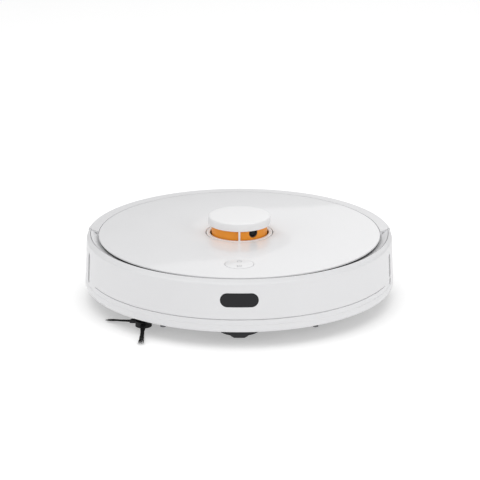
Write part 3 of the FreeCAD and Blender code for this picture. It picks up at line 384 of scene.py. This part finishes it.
def bumper_section():
    """(radius, height, shift of the circle's centre, groove share) round the bumper's section."""
    half = GROOVE_HIGH / 2
    section = [(BODY_R - SHELL, SKIRT_Z, 0, 0), (BODY_R - 0.9, SKIRT_Z, 0, 0),
               (BODY_R - 0.3, SKIRT_Z + 0.25, 0, 0), (BODY_R, SKIRT_Z + 0.9, 0, 0),
               (wall_radius(22), 22, 0, 0), (CREASE_R, CREASE_Z - 0.2, 0, 0),
               (CREASE_R - 0.12, CREASE_Z, 0, 0), (wall_radius(26.5) - 0.12, 26.5, 0, 0),
               (wall_radius(29) - 0.1, 29, 0, 0)]
    for z, share in ((GROOVE_Z - half - 0.25, 0), (GROOVE_Z - half, 0.15), (GROOVE_Z - half + 0.1, 1),
                     (GROOVE_Z + half - 0.1, 1), (GROOVE_Z + half, 0.15), (GROOVE_Z + half + 0.25, 0)):
        section.append((wall_radius(z), z, 0, share))
    for step in range(1, 8):
        z = GROOVE_Z + GROOVE_CLEAR + (BEND_Z - GROOVE_Z - GROOVE_CLEAR) * step / 8
        section.append((wall_radius(z), z, 0, 0))
    start = (wall_radius(BEND_Z), BEND_Z, 0)
    corner = (WALL_TOP_R, WALL_TOP_Z, 0)
    crest = (LIP_R, LIP_Z, LIP_SHIFT)
    end = tuple(a + 0.34 * (b - a) for a, b in zip(corner, crest))
    for step in range(9):
        t = step / 8
        section.append(tuple(a * (1 - t) ** 2 + b * 2 * t * (1 - t) + c * t * t
                             for a, b, c in zip(start, corner, end)) + (0,))
    for t in (0.55, 0.75, 0.9):
        section.append(tuple(a + t * (b - a) for a, b in zip(corner, crest)) + (0,))
    section += [(LIP_R + 0.1, LIP_Z - 0.08, LIP_SHIFT, 0), (LIP_R - 0.2, LIP_Z - 0.05, LIP_SHIFT, 0),
                (LIP_R - LIP_FLAT, LIP_Z - 0.35, LIP_SHIFT, 0), (LIP_R - LIP_FLAT, LIP_LOW, LIP_SHIFT, 0),
                (WALL_TOP_R - SHELL, LIP_LOW, 0, 0), (CREASE_R - SHELL, CREASE_Z, 0, 0)]
    return section


def bumper_mesh():
    """The front shell with its groove, its window and the side slots."""
    ring_of = []
    section = bumper_section()
    for step in range(BUMPER_STEPS + 1):
        t = -1 + 2 * step / BUMPER_STEPS
        ring = []
        for radius, z, shift, share in section:
            reach = math.acos((shift - BUMPER_END) / radius)
            angle = t * reach
            inside = GROOVE_RIGHT < angle < GROOVE_LEFT
            r = radius - GROOVE_DEEP * share * inside
            ring.append((r * math.sin(angle), shift - r * math.cos(angle), z))
        ring_of.append(ring)
    verts, faces = sweep_rings(ring_of, closed_path=False)
    shell = build("bumper_shell", verts, faces, 28)
    cutters = [wide_slot(WINDOW_WIDE, WINDOW_HIGH, WINDOW_Z),
               upright_slot(SLOT_WIDE, *RIGHT_SLOT, -SLOT_ANGLE),
               upright_slot(SLOT_WIDE, *LEFT_SLOT, SLOT_ANGLE),
               upright_slot(SLOT_WIDE, *LEFT_SPOT, SLOT_ANGLE)]
    return carve(shell, cutters, smooth_angle=28)


bumper = bumper_mesh()
hooks = [box_mesh("hook", HOOK_LOW, HOOK_HIGH, HOOK_EDGE),
         box_mesh("hook", (-HOOK_HIGH[0], HOOK_LOW[1], HOOK_LOW[2]),
                  (-HOOK_LOW[0], HOOK_HIGH[1], HOOK_HIGH[2]), HOOK_EDGE)]
piece(join("bumper_skin", [bumper] + hooks, 28), white_shell, "bumper", "white_shell", "bumper")


# ------------------------------------------------------------------ cover disc

HOLE_R = 38.2
# The black ring below the disc's rim is painted shade: it darkens the shadow gap under the disc's edge.
SHADE_RING_Z, SHADE_RING_LAP, SHADE_RING_INSET = 72.5, 0.8, 0.5
BUTTON_SPARE = 0.35
disc_outline = rounded([(HOLE_R, SHADE_RING_Z), (DISC_R, SHADE_RING_Z, 0.3), (DISC_R, DISC_Z, 0.8),
                        (HOLE_R, DISC_Z, 0.5)])
disc = lathe("disc", disc_outline, 360)
# Painted shade: a black rubber ring under the disc's rim stands in for the shadow in the gap beneath the
# disc's edge.
painted_shade_outline = [(HOLE_R + SHADE_RING_LAP, DISC_LOW), (DISC_R - SHADE_RING_INSET, DISC_LOW),
                  (DISC_R - SHADE_RING_INSET, SHADE_RING_Z), (HOLE_R + SHADE_RING_LAP, SHADE_RING_Z)]
painted_shade_ring = lathe("painted_shade_ring", painted_shade_outline, 240)
button_low, button_high = edges("button_plate")
BUTTON_Y = (button_low[1] + button_high[1]) / 2
BUTTON_R = (button_high[1] - button_low[1]) / 2
for layer, spare in ((disc, BUTTON_SPARE), (painted_shade_ring, SHADE_RING_LAP)):
    hole = lathe("hole", [(0, 60), (BUTTON_R + spare, 60), (BUTTON_R + spare, 80), (0, 80)], 128,
                 (0, BUTTON_Y))
    carve(layer, [hole])
piece(disc, white_gloss, "chassis", "white_cover", "top_cover")
# The black ring under the disc is painted shade for the gap's shadow, not a real part of the robot.
piece(painted_shade_ring, rubber, "chassis", "rubber_black")


# ------------------------------------------------------------------ more mesh helpers

def along(obj, axis, at=(0, 0, 0), turn=0.0):
    """Lays a lathed piece down along X or -Y, moves it and swings it round the Z axis."""
    lay = Matrix.Rotation(math.pi / 2, 4, {"X": "Y", "-Y": "X"}[axis])
    return place(obj, Matrix.Rotation(turn, 4, "Z") @ Matrix.Translation(Vector(at)) @ lay)


def strands(name, paths, root, tip, sides=5):
    """Thin tapering hairs along polylines."""
    verts, faces = [], []
    for path in paths:
        points = [Vector(p) for p in path]
        rings = []
        for index, point in enumerate(points):
            ahead = points[min(index + 1, len(points) - 1)] - points[max(index - 1, 0)]
            side = ahead.orthogonal().normalized()
            up = ahead.normalized().cross(side)
            radius = root + (tip - root) * index / (len(points) - 1)
            rings.append([point + side * radius * math.cos(TURN * k / sides)
                          + up * radius * math.sin(TURN * k / sides) for k in range(sides)])
        ring_verts, ring_faces = sweep_rings(rings, closed_path=False)
        first = len(verts)
        verts += ring_verts
        faces += [tuple(first + i for i in face) for face in ring_faces]
    mesh = bpy.data.meshes.new(name)
    mesh.from_pydata([[c * MM for c in v] for v in verts], [], faces)
    finish_mesh(mesh, 60)
    obj = bpy.data.objects.new(name, mesh)
    bpy.context.scene.collection.objects.link(obj)
    return obj


def line_work(name, paths, width, low, high):
    """Flat strokes of one width along polylines in XY."""
    strokes = []
    for path in paths:
        for a, b in zip(path, path[1:]):
            a, b = Vector(a), Vector(b)
            ahead = (b - a).normalized() * width * 0.35
            across = Vector((-ahead.y, ahead.x)).normalized() * width / 2
            corners = [a - ahead - across, b + ahead - across, b + ahead + across, a - ahead + across]
            strokes.append(prism("stroke", [tuple(c) for c in corners], low, high))
    return join(name, strokes)


def arc(centre, radius, start, end):
    """Points along an arc, with its ends in degrees."""
    steps = 24
    turns = [math.radians(start + (end - start) * k / steps) for k in range(steps + 1)]
    return [(centre[0] + radius * math.cos(turn), centre[1] + radius * math.sin(turn)) for turn in turns]


# ------------------------------------------------------------------ turret cover

CAP_R, CAP_LOW, CAP_Z, CAP_WALL = 35.2, 85.1, 94.5, 2.2
RING_IN, RING_OUT, RING_Z, RING_WALL = 33.2, 37.4, 74.4, 1.8
STOP_R, STOP_Z, STOP_LOW = 42.6, 70.3, 68.6
POST_HALF = 1.1
cap = lathe("cap", rounded([(0, CAP_Z - CAP_WALL), (CAP_R - CAP_WALL, CAP_Z - CAP_WALL),
                            (CAP_R - CAP_WALL, CAP_LOW), (CAP_R, CAP_LOW, 0.5),
                            (CAP_R, CAP_Z - 0.2, 1.9), (CAP_R * 0.6, CAP_Z - 0.05), (0, CAP_Z)], 8), 256)
ring = lathe("ring", rounded([(RING_IN, RING_Z - RING_WALL), (RING_IN, RING_Z, 0.5),
                              (RING_OUT, RING_Z, 0.6), (RING_OUT, STOP_Z), (RING_OUT - RING_WALL, STOP_Z),
                              (RING_OUT - RING_WALL, RING_Z - RING_WALL)]), 256)
stop = lathe("stop", rounded([(RING_OUT, STOP_Z), (STOP_R, STOP_Z, 0.3), (STOP_R, STOP_LOW, 0.3),
                              (RING_OUT - RING_WALL, STOP_LOW), (RING_OUT - RING_WALL, STOP_Z)]), 200)
posts = []
for turn in (0, 120, 240):
    post = box_mesh("post", (-POST_HALF, -CAP_R + 0.1, RING_Z - 1),
                    (POST_HALF, -RING_IN - 0.1, CAP_LOW + 1), 0.35)
    posts.append(place(post, about_z(math.radians(turn))))
piece(join("turret_cover", [cap, ring] + posts), white_bright, "lidar_cover", "white_shell",
      "lidar_cover")
piece(stop, dark_grey, "lidar_cover", "dark_grey")


# ------------------------------------------------------------------ rotating laser head

HEAD_R, HEAD_Z, LENS_Z, LENS_R, EYE_R = 31.5, 87.6, 81.4, 5.4, 3.1
LENS_ANGLE, EYE_ANGLE = 30, 98
LENS_FIT, LENS_DEEP, RIM_WALL, DRILL_END = 0.05, 4, 0.8, 38
HEAD_LOW, HEAD_BORE, HEAD_WALL, HEAD_ROOF, HEAD_FLOOR, HEAD_STEP = 60.5, 10.05, 2.5, 2, 68, 66
BELT_R, BELT_FLOOR_R, BELT_LOW, BELT_HIGH = 25.5, 24, 61.2, 63.8
head = lathe("head", rounded([
    (HEAD_BORE, HEAD_LOW), (BELT_R, HEAD_LOW, 0.3), (BELT_R, BELT_LOW), (BELT_FLOOR_R, BELT_LOW),
    (BELT_FLOOR_R, BELT_HIGH), (BELT_R, BELT_HIGH), (BELT_R, HEAD_STEP), (HEAD_R, HEAD_STEP, 0.8),
    (HEAD_R, HEAD_Z, 0.8), (0, HEAD_Z), (0, HEAD_Z - HEAD_ROOF), (HEAD_R - HEAD_WALL, HEAD_Z - HEAD_ROOF),
    (HEAD_R - HEAD_WALL, HEAD_FLOOR), (HEAD_BORE, HEAD_FLOOR)]), 256)


def drill(radius, angle):
    """A radial cutter for a lens seat in the head's side, at an angle from the front."""
    near = HEAD_R - LENS_DEEP
    outline = [(0, near), (radius, near), (radius, DRILL_END), (0, DRILL_END)]
    return along(lathe("drill", outline, 64), "-Y", (0, 0, LENS_Z), math.radians(angle))


carve(head, [drill(LENS_R, LENS_ANGLE), drill(EYE_R, EYE_ANGLE)])
piece(head, orange, "lidar_head", "orange_head", "lidar_head")
lens_parts, glass_parts = [], []
for radius, angle in ((LENS_R - LENS_FIT, LENS_ANGLE), (EYE_R - LENS_FIT, EYE_ANGLE)):
    seat = HEAD_R - LENS_DEEP + 0.1
    front = math.sqrt((HEAD_R - 0.5) ** 2 - radius ** 2)
    rim = rounded([(radius - RIM_WALL, seat), (radius, seat), (radius, front, 0.2),
                   (radius - 0.35, front), (radius - RIM_WALL, front - 0.6)])
    glass = [(0, seat), (radius - 0.78, seat), (radius - 0.78, front - 0.9), (radius * 0.62, front - 0.5),
             (radius * 0.34, front - 0.25), (0, front - 0.15)]
    lens_parts.append(along(lathe("rim", rim, 64), "-Y", (0, 0, LENS_Z), math.radians(angle)))
    glass_parts.append(along(lathe("glass", glass, 64), "-Y", (0, 0, LENS_Z), math.radians(angle)))
piece(join("lens_rims", lens_parts), dark_grey, "lidar_head", "lens_black", "lidar_lenses")
piece(join("lens_glass", glass_parts), lens_black, "lidar_head", "lens_black", "lidar_lenses")


# ------------------------------------------------------------------ rocker button

PLATE_LOW, PLATE_Z, PIVOT_Z = 72, 74.5, 69.6
RIB_OUT, RIB_IN, RIB_LOW = 1.5, 4, 68.4
PIN_R, PIN_OUT, PIN_IN = 1, 3.35, 2
FOOT_R, FOOT_LOW, FOOT_REACH = 1.5, 68.3, 8
SIGN_WIDE, SIGN_DEEP, SIGN_PROUD = 0.5, 0.4, 0.02
plate = lathe("plate", rounded([(0, PLATE_LOW), (BUTTON_R - RIB_IN, PLATE_LOW),
                                (BUTTON_R - RIB_IN, RIB_LOW), (BUTTON_R - RIB_OUT, RIB_LOW),
                                (BUTTON_R - RIB_OUT, PLATE_LOW), (BUTTON_R, PLATE_LOW),
                                (BUTTON_R, PLATE_Z, 0.5), (0, PLATE_Z)]), 128, (0, BUTTON_Y))
pin = lathe("pin", rounded([(0, -BUTTON_R - PIN_OUT), (PIN_R, -BUTTON_R - PIN_OUT, 0.2),
                            (PIN_R, -BUTTON_R + PIN_IN), (0, -BUTTON_R + PIN_IN)]), 24)
pins = [along(pin, "X", (0, BUTTON_Y, PIVOT_Z))]
other = pins[0].copy()
other.data = pins[0].data.copy()
bpy.context.scene.collection.objects.link(other)
pins.append(place(other, Matrix.Rotation(math.pi, 4, "Z") @ Matrix.Translation((0, -2 * BUTTON_Y, 0))))
foot_outline = rounded([(0, FOOT_LOW), (FOOT_R, FOOT_LOW, 0.3), (FOOT_R, PLATE_LOW), (0, PLATE_LOW)])
feet = [lathe("foot", foot_outline, 24, (0, BUTTON_Y + dy)) for dy in (-FOOT_REACH, FOOT_REACH)]
piece(join("button_rocker", [plate] + pins + feet), white_gloss, "button", "white_cover",
      "button_plate")
HOME_Y, POWER_Y = BUTTON_Y + 9.2, BUTTON_Y - 7.2
home = [[(-3.0, HOME_Y - 0.1), (0, HOME_Y + 2.7), (3.0, HOME_Y - 0.1)],
        [(-2.1, HOME_Y + 0.6), (-2.1, HOME_Y - 2.4), (2.1, HOME_Y - 2.4), (2.1, HOME_Y + 0.6)]]
power = [arc((0, POWER_Y), 2.5, 125, 415), [(0, POWER_Y + 0.6), (0, POWER_Y + 3.0)]]
piece(line_work("button_signs", home + power, SIGN_WIDE, PLATE_Z - SIGN_DEEP, PLATE_Z + SIGN_PROUD),
      mark_grey, "button", "white_cover")


# ------------------------------------------------------------------ side brush

SIDE_AT = (-104, -117, 9.6)
SIDE_SLOPE, SIDE_REACH, FERRULE_REACH = math.radians(8.8), 51.5, 17
SIDE_ANGLES, HAIRS, LOCKS, LOCK_GAP, SPREAD_MOST = (-91, 29, 149), 96, 4, 1.7, 3.5
HAIR_ROOT, HAIR_TIP, HAIR_STEPS = 0.2, 0.05, 6


def side_arm(angle):
    """The sloping frame of one arm, along its own X."""
    return (Matrix.Translation(SIDE_AT) @ Matrix.Rotation(math.radians(angle), 4, "Z")
            @ Matrix.Rotation(SIDE_SLOPE, 4, "Y"))


hairs = []
for angle in SIDE_ANGLES:
    arm = side_arm(angle)
    for hair in range(HAIRS):
        lock = hair % LOCKS
        root_y, root_z = random.uniform(-1.9, 1.9), random.uniform(-0.7, 0.7)
        spread = (lock - 1.5) * LOCK_GAP + random.gauss(0, 0.7)
        spread = max(-SPREAD_MOST, min(SPREAD_MOST, spread))
        reach = SIDE_REACH - random.uniform(0, 9) - abs(spread) * 0.4
        lift = random.uniform(-0.5, 0.6)
        start = FERRULE_REACH - 2
        path = []
        for step in range(HAIR_STEPS + 1):
            t = step / HAIR_STEPS
            path.append(arm @ Vector((start + (reach - start) * t, root_y + (spread - root_y) * t ** 1.2,
                                      root_z + (lift - root_z) * t)))
        hairs.append(path)
piece(strands("side_brush_hairs", hairs, HAIR_ROOT, HAIR_TIP), rubber, "side_brush", "bristle",
      "side_brush_bristles")


# ------------------------------------------------------------------ main brush

BRUSH_Y, BRUSH_Z, CORE_R, BRUSH_TIP = -20, 17.5, 8, 16.4
SPANS = ((-79, -42.5), (-37.5, 37.5), (42.5, 79))
ROOT_R = CORE_R - 0.6
BLADE_PITCH, BLADE_LEAN = 6, 0.12
BLADE_SECTION = ((ROOT_R, 1.3), (CORE_R + 1.6, 0.8), (BRUSH_TIP - 1.2, 0.6), (BRUSH_TIP - 0.2, 0.7),
                 (BRUSH_TIP, 0.3))
TUFT_PITCH, TUFT_HAIRS, TUFT_ROOT, TUFT_TIP = 2.1, 5, 0.16, 0.1


def brush_point(x, radius, angle):
    """A point at a radius and angle about the brush's axle."""
    return (x, BRUSH_Y + radius * math.cos(angle), BRUSH_Z + radius * math.sin(angle))


blades, tufts = [], []
for row in range(6):
    base = math.radians(60 * row + 30)
    for first, last in SPANS:
        if row % 2:
            count = int((last - first) / TUFT_PITCH)
            for k in range(count + 1):
                x = first + (last - first) * k / count
                for _ in range(TUFT_HAIRS):
                    lean = random.gauss(0, 0.05)
                    drift = random.gauss(0, 0.35)
                    tufts.append([brush_point(x + drift * t, ROOT_R + (BRUSH_TIP - CORE_R + 0.5) * t,
                                              base + lean * t + 0.03 * t * t) for t in (0, 0.5, 1)])
        else:
            rings = []
            count = max(2, int((last - first) / BLADE_PITCH))
            for k in range(count + 1):
                x = first + (last - first) * k / count
                right = [brush_point(x, r, base + BLADE_LEAN * ((r - CORE_R) / 8) ** 2 + h / r)
                         for r, h in BLADE_SECTION]
                left = [brush_point(x, r, base + BLADE_LEAN * ((r - CORE_R) / 8) ** 2 - h / r)
                        for r, h in reversed(BLADE_SECTION)]
                rings.append(right + left)
            verts, faces = sweep_rings(rings, closed_path=False)
            blades.append(build("blade", verts, faces, 50))
piece(join("main_brush_blades", blades, 50), brush_rubber, "main_brush", "brush_rubber",
      "main_brush_bristles")
piece(strands("main_brush_tufts", tufts, TUFT_ROOT, TUFT_TIP, 4), rubber, "main_brush", "bristle")


# ------------------------------------------------------------------ stage, light and camera

AIM = Vector((0.0007, 0, 0.0644))
CAMERA_DISTANCE = 2.2278
CAMERA_ELEVATION = math.radians(18.02)
CAMERA_LENS, CAMERA_SENSOR = 147.35, 36
WORLD_STRENGTH = 0.45
SHEEN_SIZE = 1.6

floor = bpy.data.objects.new("floor", bpy.data.meshes.new("floor"))
floor.data.from_pydata([(-9, -6, 0), (9, -6, 0), (9, 14, 0), (-9, 14, 0)], [], [(0, 1, 2, 3)])
bpy.context.scene.collection.objects.link(floor)
floor_mat = plastic("floor_paint", (0.74, 0.74, 0.74), 0.9, grain=0.0, tone_spread=0.0, specular=0.1)
floor_shader = floor_mat.node_tree.nodes["Principled BSDF"]
floor_shader.inputs["Emission Color"].default_value = (1, 1, 1, 1)
floor_shader.inputs["Emission Strength"].default_value = 0.40
floor.data.materials.append(floor_mat)


def softbox(name, at, aim, size, power, roll=0.0):
    """A rectangular area light that the camera doesn't see."""
    light = bpy.data.lights.new(name, "AREA")
    light.shape = "RECTANGLE"
    light.size, light.size_y = size
    light.energy = power
    obj = bpy.data.objects.new(name, light)
    bpy.context.scene.collection.objects.link(obj)
    direction = Vector(aim) - Vector(at)
    turn = direction.to_track_quat("-Z", "Y").to_matrix().to_4x4()
    obj.matrix_world = Matrix.Translation(at) @ turn @ Matrix.Rotation(roll, 4, "Z")
    obj.visible_camera = False
    return obj


softbox("overhead", (-0.2, -0.2, 2.4), (0, 0, 0), (3.2, 3.2), 36)
softbox("right_key", (2.6, -1.6, 1.4), (0, 0, 0.04), (1.6, 1.2), 18)
softbox("left_fill", (-2.6, -1.2, 1.2), (0, 0, 0.04), (1.4, 1.2), 8)
softbox("front_fill", (0.2, -3.2, 1.5), (0, 0, 0.04), (2.4, 1.4), 8)
sheen_mid = Vector((0.0115, 3.0, 1.05))
sheen_dir = Vector((0.207, 0, -0.223)).normalized()
sheen_out = Vector((-sheen_dir.z, 0, sheen_dir.x))
sheen_at = sheen_mid + sheen_out * SHEEN_SIZE / 2
softbox("sheen", sheen_at, sheen_at + Vector((0, -1, 0)), (SHEEN_SIZE, SHEEN_SIZE), 7,
        roll=-math.atan2(sheen_dir.z, sheen_dir.x))

world = bpy.data.worlds.new("studio")
bpy.context.scene.world = world
world.use_nodes = True
backdrop = world.node_tree.nodes["Background"]
backdrop.inputs["Color"].default_value = (1, 1, 1, 1)
backdrop.inputs["Strength"].default_value = WORLD_STRENGTH

camera = bpy.data.objects.new("camera", bpy.data.cameras.new("camera"))
camera.data.sensor_width = CAMERA_SENSOR
camera.data.lens = CAMERA_LENS
bpy.context.scene.collection.objects.link(camera)
back = Vector((0, -math.cos(CAMERA_ELEVATION), math.sin(CAMERA_ELEVATION)))
camera.matrix_world = (Matrix.Translation(AIM + back * CAMERA_DISTANCE)
                       @ Matrix.Rotation(math.pi / 2 - CAMERA_ELEVATION, 4, "X"))
camera.data.clip_end = 60
bpy.context.scene.camera = camera
bpy.context.scene.view_settings.view_transform = "Standard"
